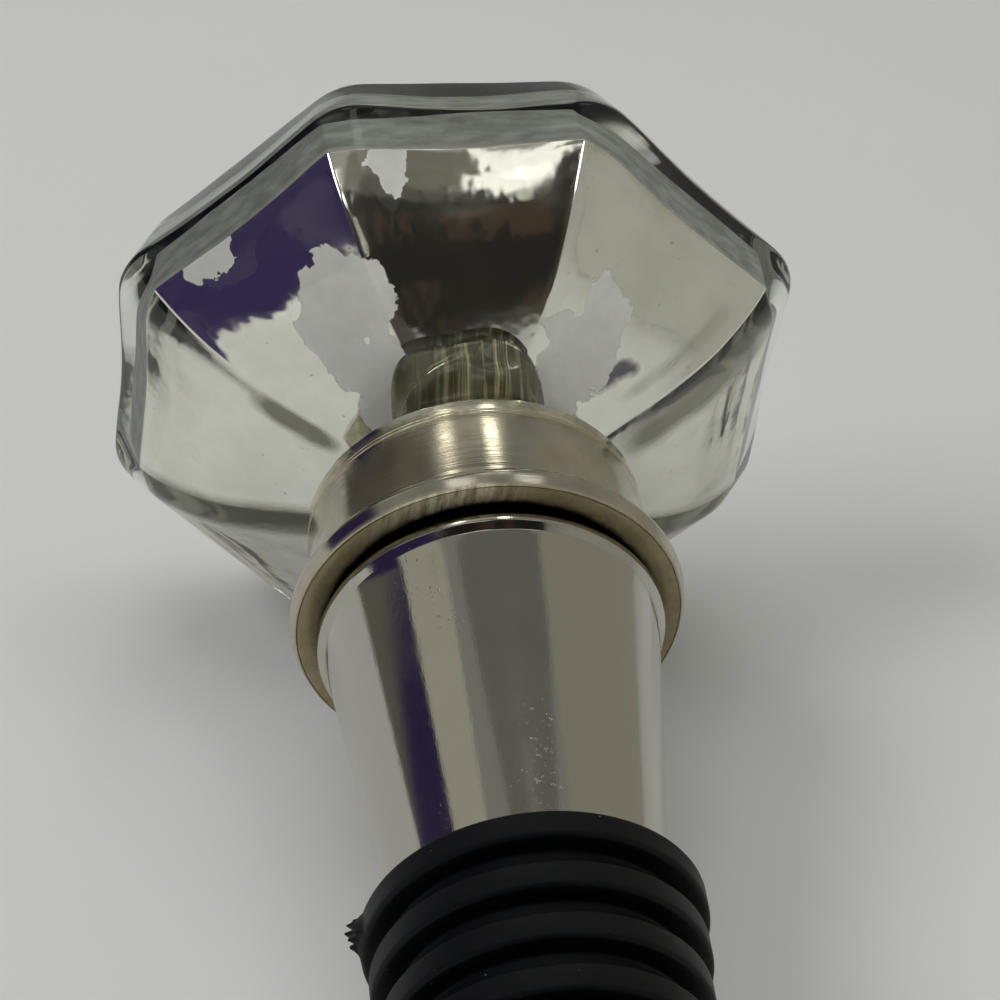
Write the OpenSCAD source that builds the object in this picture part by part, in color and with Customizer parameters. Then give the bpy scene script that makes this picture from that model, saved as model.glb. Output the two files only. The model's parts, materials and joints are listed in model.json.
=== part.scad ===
// Bottle stopper with a silvered eight-sided glass knob.
// The pieces are stacked along one axis, written here with its own z: the lip of the
// collar lies at z = 0, the knob is above it and the plug below. Last of all the whole
// stopper is laid on its side, as it comes to rest: on one flat of the knob and on the
// last rib of the seal, knob towards +Y.

/* [Knob] */
// Distance across the flats of the knob at its widest edge
knob_flats = 45.2; // [36:0.2:60]
// Height of the facets, from the neck up to the widest edge
facet_height = 13; // [8:0.1:20]
// How far the crown stands above the widest edge
crown_rise = 5.6; // [4.2:0.1:12]
// How far each side of the knob leans in between the widest edge and the crown
crown_lean = 2.0; // [0.5:0.1:4]
// Bevel between the sides of the knob and its flat crown
crown_bevel = 0.8; // [0.4:0.1:3]
// Thickness of the glass around the hollow
glass_wall = 2.1; // [1:0.1:3.2]
// How much is rounded off each of the eight corners
corner_cut = 0.35; // [0.1:0.05:1]
// Depth of the hollow in each rim side between two corners
side_hollow = 0.35; // [0.1:0.05:1]
// Slope of the facets beside the neck, as rise over run
floor_slope = 0.45; // [0.2:0.05:0.7]
// How sharply the facets turn up to the rim
rim_power = 4.5; // [2:0.5:7]
// Diameter of the glass neck
neck_d = 12; // [8:0.2:16]
// Length of glass neck that stands in the collar
neck_seat = 4.4; // [2:0.2:5]
// Clear neck between the collar and the facets
neck_gap = 1.1; // [0.5:0.1:4]
// Diameter of the hole through the neck into the hollow
blow_hole_d = 3.6; // [2:0.2:5]

/* [Collar] */
// Outer diameter of the collar wall
collar_d = 21.6; // [18:0.2:28]
// Height of the collar above its lip
collar_height = 9.7; // [8:0.1:16]
// Thickness of the collar sheet
collar_sheet = 0.6; // [0.4:0.05:1.2]
// How far the flared lip reaches out past the wall
lip_reach = 1.35; // [1:0.05:2.5]
// How far the rolled bead above the lip reaches out past the lip
bead_reach = 0.35; // [0.1:0.05:0.8]
// Height above the lip at which the wall starts to flare
flare_height = 2.6; // [2:0.1:4]
// Inside radius of the flare
flare_r = 2.6; // [2.2:0.1:3.2]
// Distance from the top of the collar to the turned line in its wall
line_drop = 1.8; // [1:0.1:4]
// Width of the turned line
line_width = 0.3; // [0.1:0.05:0.6]
// Gap between the glass neck and the hole in the collar
neck_clearance = 0.25; // [0.1:0.05:0.6]

/* [Plug] */
// How far the ring at the top of the taper reaches out past the bore of the collar
ring_reach = 0.7; // [0.3:0.05:1.1]
// How far the ring stands out below the collar lip
ring_drop = 1.6; // [0.8:0.1:4]
// Size of the bevel between the ring and the taper
ring_bevel = 0.4; // [0.2:0.05:0.8]
// Diameter of the taper at its small end
taper_end_d = 15.8; // [12:0.1:18]
// Length of the taper
taper_length = 21.2; // [14:0.1:34]
// Diameter of the spigot that carries the seal
spigot_d = 8.4; // [6:0.1:10]
// Length of the spigot
spigot_length = 14; // [8:0.2:16]
// Diameter of the threaded stud
stud_d = 6; // [4:0.5:8]
// Length of stud screwed into the plug
stud_depth = 11; // [6:0.5:16]
// Length of stud bedded in the cement
stud_grip = 3.4; // [2:0.1:4]

/* [Seal] */
// Diameter of the first and largest rib
rib_d = 20; // [18:0.1:22]
// Number of ribs
rib_count = 5; // [3:1:7]
// Distance from one rib to the next
rib_pitch = 3.2; // [2.6:0.1:5]
// Width of a rib at its edge
rib_width = 1.75; // [1.2:0.05:2.4]
// How much smaller in diameter each rib is than the one before it
rib_step = 0.6; // [0:0.1:1.2]
// Depth of the grooves between the ribs
rib_depth = 1.5; // [0.8:0.1:2.5]
// Length of the plain nose past the last rib
nose_length = 3.6; // [2.5:0.1:8]

/* [Hidden] */

FACETS = 8;
FACET_STEPS = 10;      // straight steps that make up one facet's curve
ROUND = 96;            // segments round the stopper's axis
SAFE = 1;              // how far a cut runs past what it cuts

half_facet = 180 / FACETS;
knob_a = knob_flats / 2;                      // centre to flat at the widest edge
neck_r = neck_d / 2;
collar_r = collar_d / 2;
collar_bore_r = collar_r - collar_sheet;
underside_z = collar_height + neck_gap;       // where the facets leave the neck
girth_z = underside_z + facet_height;         // the knob's widest edge
crown_z = girth_z + crown_rise;
crown_a = knob_a - crown_lean;
rim_rise = facet_height - floor_slope * (knob_a - neck_r);
neck_end_z = collar_height - neck_seat;
lip_r = collar_r + lip_reach;
bead_r = lip_r + bead_reach;
ring_r = collar_bore_r + ring_reach;
taper_top_r = ring_r - ring_bevel;
taper_top_z = -ring_drop - ring_bevel;
seal_top_z = taper_top_z - taper_length;
rib_r = rib_d / 2;

// Inside, the collar flares along an arc whose centre lies this far out from the axis.
// An angle of 0 is where the arc leaves the bore; the plug's ring seats part of the way
// round and the lip is at the end.
flare_x = collar_bore_r + flare_r;
function flare_angle(r) = acos((flare_x - r) / flare_r);
lip_angle = flare_angle(lip_r);
flare_top_z = flare_r * sin(lip_angle);
function flare_point(angle) = [flare_x - flare_r * cos(angle), flare_top_z - flare_r * sin(angle)];
seat_angle = flare_angle(ring_r);
ring_top_z = flare_point(seat_angle)[1];

function last_rib_r() = rib_r - (rib_count - 1) * rib_step / 2;
function rib_z(i) = seal_top_z - i * rib_pitch;
last_rib_z = rib_z(rib_count - 1) - rib_width;
nose_z = last_rib_z - nose_length;
nose_r = last_rib_r() - rib_depth;

// Underside of the knob: height of a facet's middle at a distance a from the axis, and
// its slope there. It leaves the neck nearly flat and turns up steeply at the rim.
function share(a) = (a - neck_r) / (knob_a - neck_r);
function facet_z(a) = underside_z + floor_slope * (a - neck_r) + rim_rise * pow(share(a), rim_power);
function facet_slope(a) = floor_slope
    + rim_rise * rim_power * pow(share(a), rim_power - 1) / (knob_a - neck_r);
// The hollow's wall, one glass thickness in from the facet at a.
function inner_point(a) = let (s = facet_slope(a), n = norm([1, s]))
    [a - glass_wall * s / n, facet_z(a) + glass_wall / n];

function steps(from, to) = [for (i = [0 : FACET_STEPS]) from + (to - from) * i / FACET_STEPS];
function mirrored(points) = [for (i = [len(points) - 1 : -1 : 0]) [-points[i][0], points[i][1]]];

outer_side = concat(
    [for (a = steps(neck_r, knob_a)) [a, facet_z(a)]],
    [[crown_a, crown_z - crown_bevel], [crown_a - crown_bevel, crown_z]]);

// At the rim the hollow stops where the glass beside it is thicker than the wall.
rim_wall = 1.5 * glass_wall;
hollow_a = knob_a - rim_wall;
hollow_top_z = crown_z - glass_wall;
hollow_lean = crown_lean / 2;
inner_side = concat(
    [for (a = steps(neck_r, knob_a - glass_wall)) inner_point(a)],
    [[hollow_a, girth_z],
     [hollow_a - hollow_lean, hollow_top_z - crown_bevel],
     [hollow_a - hollow_lean - crown_bevel, hollow_top_z]]);

// Resting place: the slope of the axis when the knob's flat and the last rib touch down,
// the lift that brings both to the ground, and the stopper's reach each way along Y.
tilt = atan2(knob_a - last_rib_r(), girth_z - last_rib_z);
lift = knob_a * cos(tilt) - girth_z * sin(tilt);
reach_back = max([for (p = outer_side) p[0] * sin(tilt) + p[1] * cos(tilt)]);
nose_bevel = 1.2;
reach_front = min(nose_z * cos(tilt) - (nose_r - nose_bevel) * sin(tilt),
                  (nose_z + nose_bevel) * cos(tilt) - nose_r * sin(tilt));
mid_y = (reach_back + reach_front) / 2;

module laid_down() {
    translate([0, -mid_y, lift]) rotate([tilt - 90, 0, 0]) children();
}

// A solid with eight equal flats whose distance from the axis follows `side`, a list of
// [distance, z] from bottom to top. The first flat faces the angle `turn`.
module eight_sided(side, turn = 0) {
    intersection_for (i = [0 : FACETS / 2 - 1])
        rotate([0, 0, turn + i * 2 * half_facet])
            rotate([90, 0, 0])
                linear_extrude(height = 2 * knob_flats, center = true)
                    polygon(concat(side, mirrored(side)));
}

// Eight narrow flats that take the points off the corners between the broad ones.
function corner_a(a) = a / cos(half_facet) - corner_cut;
corner_side = concat(
    [[corner_a(knob_a), underside_z - SAFE], [corner_a(knob_a), girth_z]],
    [for (i = [-2 : -1]) let (p = outer_side[len(outer_side) + i]) [corner_a(p[0]), p[1]]]);

// Shallow hollows in the eight sides of the rim, each an arc between two corners that
// leans in with the side.
hollow_margin = 0.6;   // plain strip left beside each corner
module rim_hollows() {
    half_chord = (corner_a(knob_a) - knob_a * cos(half_facet)) / sin(half_facet) - hollow_margin;
    arc_r = (pow(half_chord, 2) + pow(side_hollow, 2)) / (2 * side_hollow);
    lean = atan2(crown_lean, crown_rise - crown_bevel);
    below = 2;
    for (i = [0 : FACETS - 1])
        rotate([0, 0, i * 2 * half_facet])
            translate([knob_a, 0, girth_z])
                rotate([0, -lean, 0])
                    translate([arc_r - side_hollow, 0, -below])
                        cylinder(r = arc_r, h = below + crown_rise + SAFE, $fn = 360);
}

// Knob: one piece of glass with eight facets, a hollow that follows them, and a neck
// with the hole that the silvering was poured through.
module glass_knob() {
    color([0.72, 0.76, 0.72])
    laid_down()
    difference() {
        union() {
            difference() {
                intersection() {
                    eight_sided(outer_side);
                    eight_sided(corner_side, half_facet);
                }
                rim_hollows();
            }
            translate([0, 0, neck_end_z])
                cylinder(r = neck_r, h = underside_z + SAFE - neck_end_z, $fn = ROUND);
        }
        eight_sided(inner_side);
        translate([0, 0, neck_end_z - SAFE])
            cylinder(d = blow_hole_d, h = inner_side[0][1] - neck_end_z + 2 * SAFE, $fn = ROUND);
    }
}

// Cement: fills the collar round the neck and the stud, and stops the hole in the neck.
hole_plug = 2.4;
cement_top_z = collar_height - collar_sheet;
module bedding_cement() {
    color([0.72, 0.66, 0.48])
    laid_down()
    union() {
        difference() {
            translate([0, 0, ring_top_z])
                cylinder(r = collar_bore_r, h = cement_top_z - ring_top_z, $fn = ROUND);
            translate([0, 0, neck_end_z])
                cylinder(r = neck_r, h = neck_seat + SAFE, $fn = ROUND);
            translate([0, 0, ring_top_z - SAFE])
                cylinder(d = stud_d, h = stud_grip + SAFE, $fn = ROUND);
        }
        translate([0, 0, neck_end_z - SAFE])
            cylinder(d = blow_hole_d, h = hole_plug + SAFE, $fn = ROUND);
    }
}

// Collar: a spun brass cap, nickel plated. Its top has the hole for the glass neck. Its
// foot flares out to a thin lip with a rolled bead above it.
top_edge_bevel = 0.5;
bead_round = 0.55;     // radius of the bead's own section
bead_z = 0.95;
step_reach = 0.25;     // small step where the wall meets the flare
step_rise = 0.15;
seat_steps = 4;        // straight steps of the flare above the ring's seat, and below it
lip_steps = 6;
module collar() {
    line_z = collar_height - line_drop;
    hole_r = neck_r + neck_clearance;
    flare_side = concat(
        [for (i = [0 : seat_steps]) flare_point(seat_angle * i / seat_steps)],
        [for (i = [1 : lip_steps])
            flare_point(seat_angle + (lip_angle - seat_angle) * i / lip_steps)]);
    bead_side = [for (t = [-45 : 15 : 45])
        [bead_r + bead_round * (cos(t) - 1), bead_z + bead_round * sin(t)]];
    color([0.62, 0.60, 0.54])
    laid_down()
    rotate_extrude($fn = ROUND)
        polygon(concat(
            flare_side,
            bead_side,
            [[collar_r + step_reach, flare_height], [collar_r, flare_height + step_rise],
             [collar_r, line_z - line_width / 2], [collar_r - line_width / 2, line_z],
             [collar_r, line_z + line_width / 2],
             [collar_r, collar_height - top_edge_bevel],
             [collar_r - top_edge_bevel, collar_height],
             [hole_r, collar_height],
             [hole_r, cement_top_z],
             [collar_bore_r, cement_top_z]]));
}

// Stud: joins the plug to the cement in the collar.
module threaded_stud() {
    stud_end = 0.6;   // bevel at each end
    stud_low_z = ring_top_z - stud_depth;
    color([0.70, 0.70, 0.68])
    laid_down()
    rotate_extrude($fn = ROUND)
        polygon([[0, stud_low_z], [stud_d / 2 - stud_end, stud_low_z],
            [stud_d / 2, stud_low_z + stud_end], [stud_d / 2, ring_top_z + stud_grip - stud_end],
            [stud_d / 2 - stud_end, ring_top_z + stud_grip], [0, ring_top_z + stud_grip]]);
}

// Plug: one turned piece with the ring that seats in the collar, the taper and the
// spigot for the seal.
module plug_taper() {
    edge = 0.2;       // small bevel at the end of the taper
    color([0.74, 0.73, 0.70])
    laid_down()
    difference() {
        rotate_extrude($fn = ROUND)
            polygon([[0, ring_top_z], [ring_r, ring_top_z], [ring_r, -ring_drop],
                [taper_top_r, taper_top_z], [taper_end_d / 2, seal_top_z + edge],
                [taper_end_d / 2 - edge, seal_top_z], [spigot_d / 2, seal_top_z],
                [spigot_d / 2, seal_top_z - spigot_length], [0, seal_top_z - spigot_length]]);
        translate([0, 0, ring_top_z - stud_depth])
            cylinder(d = stud_d, h = stud_depth + SAFE, $fn = ROUND);
    }
}

// Seal: one moulded sleeve of black rubber with thin stiff ribs, each a little smaller
// than the one before, and a plain closed nose.
module rubber_seal() {
    soft = 0.15;      // bevel on the edges of the ribs
    ribs = [for (i = [0 : rib_count - 1]) let (r = rib_r - i * rib_step / 2, z = rib_z(i))
        each [[r - soft, z], [r, z - soft], [r, z - rib_width + soft],
              [r - soft, z - rib_width], [r - rib_depth, z - rib_width],
              [r - rib_depth - rib_step / 2, z - rib_pitch]]];
    ribs_only = [for (i = [0 : len(ribs) - 2]) ribs[i]];
    color([0.06, 0.06, 0.07])
    laid_down()
    difference() {
        rotate_extrude($fn = ROUND)
            polygon(concat([[0, seal_top_z]], ribs_only,
                [[nose_r, nose_z + nose_bevel], [nose_r - nose_bevel, nose_z], [0, nose_z]]));
        translate([0, 0, seal_top_z - spigot_length])
            cylinder(d = spigot_d, h = spigot_length + SAFE, $fn = ROUND);
    }
}

glass_knob();
bedding_cement();
collar();
threaded_stud();
plug_taper();
rubber_seal();
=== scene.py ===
import json
import math

import bpy
import numpy as np
from bpy.props import FloatProperty, FloatVectorProperty, IntProperty, PointerProperty
from bpy.types import Operator, Panel, PropertyGroup
from mathutils import Euler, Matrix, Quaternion, Vector


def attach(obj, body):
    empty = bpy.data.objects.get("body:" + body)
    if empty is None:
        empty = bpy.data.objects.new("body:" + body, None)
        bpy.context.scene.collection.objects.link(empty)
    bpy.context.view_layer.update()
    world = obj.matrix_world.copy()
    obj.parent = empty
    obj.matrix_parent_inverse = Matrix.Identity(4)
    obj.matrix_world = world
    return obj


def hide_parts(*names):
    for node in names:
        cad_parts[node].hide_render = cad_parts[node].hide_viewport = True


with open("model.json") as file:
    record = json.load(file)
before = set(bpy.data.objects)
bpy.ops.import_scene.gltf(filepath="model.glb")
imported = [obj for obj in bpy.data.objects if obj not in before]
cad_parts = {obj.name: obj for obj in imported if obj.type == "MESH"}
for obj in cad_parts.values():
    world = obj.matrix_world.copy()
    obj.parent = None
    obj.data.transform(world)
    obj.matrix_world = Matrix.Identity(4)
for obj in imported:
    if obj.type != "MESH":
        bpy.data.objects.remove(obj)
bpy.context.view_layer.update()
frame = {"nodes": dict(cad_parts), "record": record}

bl_info = {
    "name": "Bottle Stopper Looks",
    "version": (1, 0, 0),
    "blender": (4, 5, 0),
    "location": "View3D > Sidebar > Stopper",
    "description": "Bottle stopper: silvered glass knob, worn collar, polished plug, ribbed seal",
    "category": "Object",
}

MM = 0.001
MOUNTS = {mount["name"]: mount for mount in frame["record"]["mounts"]}

# The stopper's own axes: z runs along AXIS from the collar's lip to the knob, x is ACROSS,
# and y is UNDER, from the axis towards the side that lies down.
CROWN = np.array(MOUNTS["crown_face"]["pos_m"])
AXIS = np.array(MOUNTS["crown_face"]["axis"])
ACROSS = np.array([1.0, 0.0, 0.0])
UNDER = np.cross(AXIS, ACROSS)

ROUND_SIDES = 256  # sides of a round piece
HALF_FACET = math.pi / 8
# The knob was pressed a little out of true: its corners stand at these angles, in degrees.
CORNER_ANGLES = (23.0, 67.5, 112.5, 157.8, 199.9, 245.0, 287.2, 335.8)
# The hollow was blown into it and is turned a touch against the outside.
HOLLOW_ANGLES = (23.0, 67.5, 112.5, 157.8, 199.9, 242.2, 286.0, 335.8)


def length(name, description, millimetres):
    """A size that a user may change, kept in metres."""
    return FloatProperty(name=name, description=description, default=millimetres * MM,
                         subtype="DISTANCE", unit="LENGTH")


def tint(name, description, colour):
    """A colour that a user may change."""
    return FloatVectorProperty(name=name, description=description, default=colour,
                               subtype="COLOR", size=3, min=0.0, max=1.0)


def degrees(name, description, value):
    """An angle that a user may change."""
    return FloatProperty(name=name, description=description, default=math.radians(value),
                         subtype="ANGLE", unit="ROTATION")


def factor(name, description, value, most=1.0):
    """A plain number that a user may change."""
    return FloatProperty(name=name, description=description, default=value, min=0.0, max=most,
                         subtype="FACTOR")


def power(name, description, watts):
    """The power of a light that a user may change."""
    return FloatProperty(name=name, description=description, default=watts, min=0.0,
                         subtype="POWER", unit="POWER")


# ---------------------------------------------------------------- sizes and finishes

class KnobSizes(PropertyGroup):
    """Sizes of the glass knob and of the mirror coating in it."""
    flats: length("Across flats", "Width of the knob at its widest edge", 45.2)
    facet_height: length("Facet height", "Height of the facets from the neck to the widest edge", 13)
    crown_rise: length("Crown rise", "Height of the crown above the widest edge", 5.6)
    crown_lean: length("Crown lean", "How far the sides lean in above the widest edge", 2.0)
    crown_bevel: length("Crown bevel", "Bevel between the sides and the flat crown", 0.8)
    wall: length("Glass wall", "Thickness of the glass under the facets", 2.1)
    ridge_round: length("Ridge round", "Radius of the ridges between the facets", 1.6)
    rim_round: length("Corner round", "Radius of the eight corners of the rim", 4.5)
    side_hollow: length("Side hollow", "Depth of the hollow in each side of the rim", 0.35)
    floor_slope: factor("Floor slope", "Slope of the facets beside the neck", 0.45)
    rim_power: factor("Rim power", "How sharply the facets turn up to the rim", 4.5, 8.0)
    neck_d: length("Neck", "Diameter of the glass neck", 12)
    neck_seat: length("Neck seat", "Length of neck that stands in the collar", 4.4)
    neck_gap: length("Neck gap", "Clear neck between the collar and the facets", 1.1)
    hole_d: length("Hole", "Diameter of the hole through the neck", 3.6)
    coat_gap: length("Coat depth", "Depth of the mirror coating in front of the hollow", 0.03)
    wave: length("Waviness", "How far the pressed glass surface wanders", 0.035)
    squeeze: length("Squeezed cement", "How far the squeezed-out cement leans past the collar", 1.1)
    squeeze_at: degrees("Squeeze place", "Angle of the bulge of cement round the neck", 262.0)
    squeeze_width: degrees("Squeeze width", "Half the width of the bulge of cement", 30.0)
    coat_hollow: length("Coat hollow", "How far the coating bows in at the middle of each side", 0.9)


class MetalSizes(PropertyGroup):
    """Sizes of the collar and of the plug."""
    collar_d: length("Collar", "Outer diameter of the collar wall", 21.6)
    collar_height: length("Collar height", "Height of the collar above its lip", 9.7)
    sheet: length("Sheet", "Thickness of the collar sheet", 0.6)
    lip_reach: length("Lip reach", "How far the lip reaches out past the wall", 1.35)
    bead_reach: length("Bead reach", "How far the bead reaches out past the lip", 0.35)
    flare_height: length("Flare height", "Height at which the wall starts to flare", 2.6)
    under_rise: length("Underside rise", "How far the underside rises from the lip to the bore", 0.6)
    barrel: length("Barrel", "How far the collar wall swells at the middle of its height", 0.12)
    line_drop: length("Line drop", "Distance from the collar's top to the turned line", 1.8)
    line_width: length("Line width", "Width of the turned line", 0.3)
    neck_clearance: length("Neck clearance", "Gap between the neck and the collar", 0.25)
    ring_reach: length("Ring reach", "How far the plug's ring reaches past the collar's bore", 0.7)
    ring_drop: length("Ring drop", "How far the ring stands out below the lip", 1.6)
    ring_height: length("Ring height", "Height of the ring's outer face", 0.6)
    ring_bevel: length("Ring bevel", "Bevel between the ring and the taper", 0.4)
    taper_end_d: length("Taper end", "Diameter of the taper at its small end", 15.8)
    taper_length: length("Taper length", "Length of the taper", 21.2)
    spigot_d: length("Spigot", "Diameter of the spigot that carries the seal", 8.4)
    spigot_length: length("Spigot length", "Length of the spigot", 14)
    stud_d: length("Stud", "Diameter of the stud in the plug", 6)
    stud_depth: length("Stud depth", "Length of stud in the plug", 11)


class SealSizes(PropertyGroup):
    """Sizes of the rubber seal."""
    rib_d: length("Rib", "Diameter of the first and largest rib", 20)
    rib_count: IntProperty(name="Ribs", description="Number of ribs", default=5, min=1)
    rib_pitch: length("Rib pitch", "Distance from one rib to the next", 3.2)
    rib_width: length("Rib width", "Width of a rib at its edge", 1.75)
    rib_step: length("Rib step", "How much smaller each rib is than the one before", 0.6)
    rib_depth: length("Rib depth", "Depth of the grooves between the ribs", 1.5)
    nose_length: length("Nose length", "Length of the plain nose", 3.6)
    torn: length("Torn nub", "How far the torn nub stands out from the first rib", 0.6)
    torn_at: degrees("Torn place", "Angle of the torn nub round the seal", 178.0)
    torn_drop: length("Torn drop", "From the top of the seal down to the middle of the nub", 0.4)


class Finishes(PropertyGroup):
    """Colours of the stopper's materials."""
    glass: tint("Glass", "Tint of the clear glass", (0.97, 0.975, 0.965))
    depth_tint: tint("Glass depth", "Colour that thick glass takes on", (0.58, 0.62, 0.52))
    silver: tint("Silver", "Mirror coating behind the glass", (0.93, 0.925, 0.85))
    bare: tint("Bare patch", "Where the mirror coating has come off", (0.95, 0.95, 0.89))
    nickel: tint("Nickel", "Worn nickel plate of the collar", (0.52, 0.49, 0.41))
    tarnish: tint("Tarnish", "Brassy tarnish under the collar's lip", (0.58, 0.50, 0.29))
    chrome: tint("Chrome", "Polished plate of the plug", (0.50, 0.485, 0.43))
    rubber: tint("Rubber", "Black rubber of the seal", (0.0018, 0.0023, 0.0032))
    cement: tint("Cement", "Old bedding cement", (0.085, 0.078, 0.042))


class StudioSettings(PropertyGroup):
    """Floor, light and camera."""
    floor: tint("Floor", "Colour of the table", (0.72, 0.73, 0.72))
    key_power: power("Key light", "Power of the light from the left", 4.6)
    ceiling_power: power("Ceiling light", "Power of the wide light overhead", 3.2)
    glass_power: power("Glass lights", "Power of each of the two lights that reach only what is "
                       "seen through the glass", 4.5)
    heading: degrees("Heading", "Direction the camera looks, from +Y towards +X", 11.35)
    pitch: degrees("Pitch", "How far the camera looks down", 31.06)
    roll: degrees("Roll", "How far the camera is turned round its view", 6.78)
    distance: length("Distance", "From the camera to the point it aims at", 178.0)
    aim_x: length("Aim across", "Point that the camera aims at, across", -0.55)
    aim_y: length("Aim along", "Point that the camera aims at, along", 2.95)
    aim_z: length("Aim height", "Point that the camera aims at, above the table", 26.9)
    lens: FloatProperty(name="Lens", description="Focal length for a 36 mm wide sensor",
                        default=105.9, min=1.0, subtype="DISTANCE_CAMERA")


# Second tones of the silvering: cloudy stains, dull bands, specks, nearly black painted shade
# beside the collar, chalky bare ground, and the two tones of its back round the rim.
STAIN = (0.72, 0.71, 0.61)
DULLED = (0.30, 0.30, 0.215)
SPECK = (0.22, 0.21, 0.16)
# Painted shade, nearly black, for the gap between the collar and the facets.
PAINTED_GAP_SHADE = (0.05, 0.04, 0.07)
CHALKY = (0.86, 0.86, 0.79)
BACK_DARK = (0.24, 0.26, 0.22)
BACK_PALE = (0.40, 0.42, 0.38)
# Second tones of the metals: the collar's plate and its painted highlight, the brass below it and
# its painted highlight streaks, and painted shade in the collar's corner and on the plug above its
# ring.
NICKEL_DULL = (0.42, 0.39, 0.31)
# Painted highlight on the band above the turned line.
NICKEL_HIGHLIGHT = (0.72, 0.69, 0.58)
BRASS_DARK = (0.22, 0.17, 0.08)
# Painted highlight streaks on the brass under the lip.
BRASS_HIGHLIGHT = (0.95, 0.88, 0.62)
# Painted shade in the collar's corner beside the plug.
ROOT_SHADE = (0.03, 0.024, 0.012)
# Painted shade on the plug above its ring.
PLUG_TOP_SHADE = (0.06, 0.048, 0.03)
# Second tones of the cement, the stud and the rubber.
CEMENT_DARK = (0.03, 0.027, 0.016)
# Fine yellow streaks of the cement.
CEMENT_YELLOW_STREAKS = (0.45, 0.41, 0.20)
STEEL = (0.55, 0.55, 0.53)
RUBBER_PATCH = (0.004, 0.0045, 0.006)
DUST = (0.35, 0.36, 0.36)


# ---------------------------------------------------------------- shapes

def unit(vector):
    """The vector at length 1."""
    return vector / np.linalg.norm(vector)


def place(points):
    """Points in the stopper's own axes (across, under, along from the lip) put in the shared
    frame: the lip's centre plus each coordinate times its axis."""
    knob, metal = bpy.context.scene.knob_sizes, bpy.context.scene.metal_sizes
    crown_z = metal.collar_height + knob.neck_gap + knob.facet_height + knob.crown_rise
    lip = CROWN - crown_z * AXIS
    return lip + points[..., :1] * ACROSS + points[..., 1:2] * UNDER + points[..., 2:] * AXIS


def rounded(corners, steps=6):
    """A profile whose corners are arcs. Each corner is (distance, z, radius). The arc's centre
    lies on the bisector of the two sides at radius / sin(half the angle) from the corner, and
    the arc runs between the points where it touches the sides."""
    spots = np.array([corner[:2] for corner in corners])
    path = [spots[:1]]
    for before, here, after, corner in zip(spots, spots[1:], spots[2:], corners[1:]):
        radius = corner[2]
        back, on = unit(before - here), unit(after - here)
        half = math.acos(np.clip(np.dot(back, on), -1.0, 1.0)) / 2
        if radius == 0 or half > math.pi / 2 - 0.01:
            path.append(here[None])
            continue
        centre = here + unit(back + on) * radius / math.sin(half)
        start = here + back * radius / math.tan(half) - centre
        stop = here + on * radius / math.tan(half) - centre
        sweep = math.pi - 2 * half
        share = np.linspace(0, 1, steps + 1)[:, None]
        arc = (np.sin((1 - share) * sweep) * start + np.sin(share * sweep) * stop) / math.sin(sweep)
        path.append(centre + arc)
    path.append(spots[-1:])
    return np.concatenate(path)


def refined(path, longest):
    """The same profile with every stretch cut into equal steps no longer than `longest`."""
    spans = np.diff(path, axis=0)
    counts = np.maximum(np.ceil(np.linalg.norm(spans, axis=1) / longest).astype(int), 1)
    stretch = np.repeat(np.arange(len(spans)), counts)
    within = np.arange(counts.sum()) - np.repeat(np.cumsum(counts) - counts, counts)
    share = (within / counts[stretch])[:, None]
    return np.concatenate([path[stretch] + spans[stretch] * share, path[-1:]])


def ring(radii):
    """Circles: for every radius, points at equal angles."""
    angle = np.arange(ROUND_SIDES) * 2 * math.pi / ROUND_SIDES
    return radii[:, None, None] * np.stack([np.cos(angle), np.sin(angle)], axis=-1)


def eight_sided(flats, rounds, hollows=0.0, angles=CORNER_ANGLES, flat_steps=24, arc_steps=7):
    """Octagons with rounded corners, for every distance to the flats a radius for the corners
    and a depth for the hollow in each side. The corners stand at the given angles, so that
    the sides are not quite equal. A corner's arc is centred on the corner moved in by the
    radius times (n + m) / (1 + n.m), where n and m are the normals of its two sides, and
    turns from n to m. A side runs straight between two arcs, less hollow * (4 s (1 - s))^2 at
    the share s of its length."""
    flats, rounds, hollows = (np.broadcast_to(value, np.shape(flats))[:, None, None, None]
                              for value in (flats, rounds, hollows))
    angle = np.radians(angles)
    corner = np.stack([np.cos(angle), np.sin(angle)], axis=-1) / math.cos(HALF_FACET)
    along = corner - np.roll(corner, 1, axis=0)
    normal = np.stack([along[:, 1], -along[:, 0]], axis=-1)
    normal /= np.linalg.norm(normal, axis=1, keepdims=True)
    following = np.roll(normal, -1, axis=0)
    inward = (normal + following) / (1 + (normal * following).sum(axis=1, keepdims=True))
    centre = flats * corner[:, None] - rounds * inward[:, None]
    start = np.arctan2(normal[:, 1], normal[:, 0])[:, None]
    turn = (np.arctan2(following[:, 1], following[:, 0])[:, None] - start) % (2 * math.pi)
    swing = start + turn * np.linspace(0, 1, arc_steps + 1)
    arc = centre + rounds * np.stack([np.cos(swing), np.sin(swing)], axis=-1)
    share = np.linspace(0, 1, flat_steps + 1)[1:-1, None]
    first = np.roll(arc, 1, axis=1)[:, :, -1:]
    side = first + (arc[:, :, :1] - first) * share
    side = side - hollows * (4 * share * (1 - share)) ** 2 * normal[:, None]
    return np.concatenate([side, arc], axis=2).reshape(len(flats), -1, 2)


def with_height(outlines, heights):
    """Flat outlines lifted to their heights along the axis."""
    tall = np.broadcast_to(heights[:, None, None], outlines.shape[:2] + (1,))
    return np.concatenate([outlines, tall], axis=-1)


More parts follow.
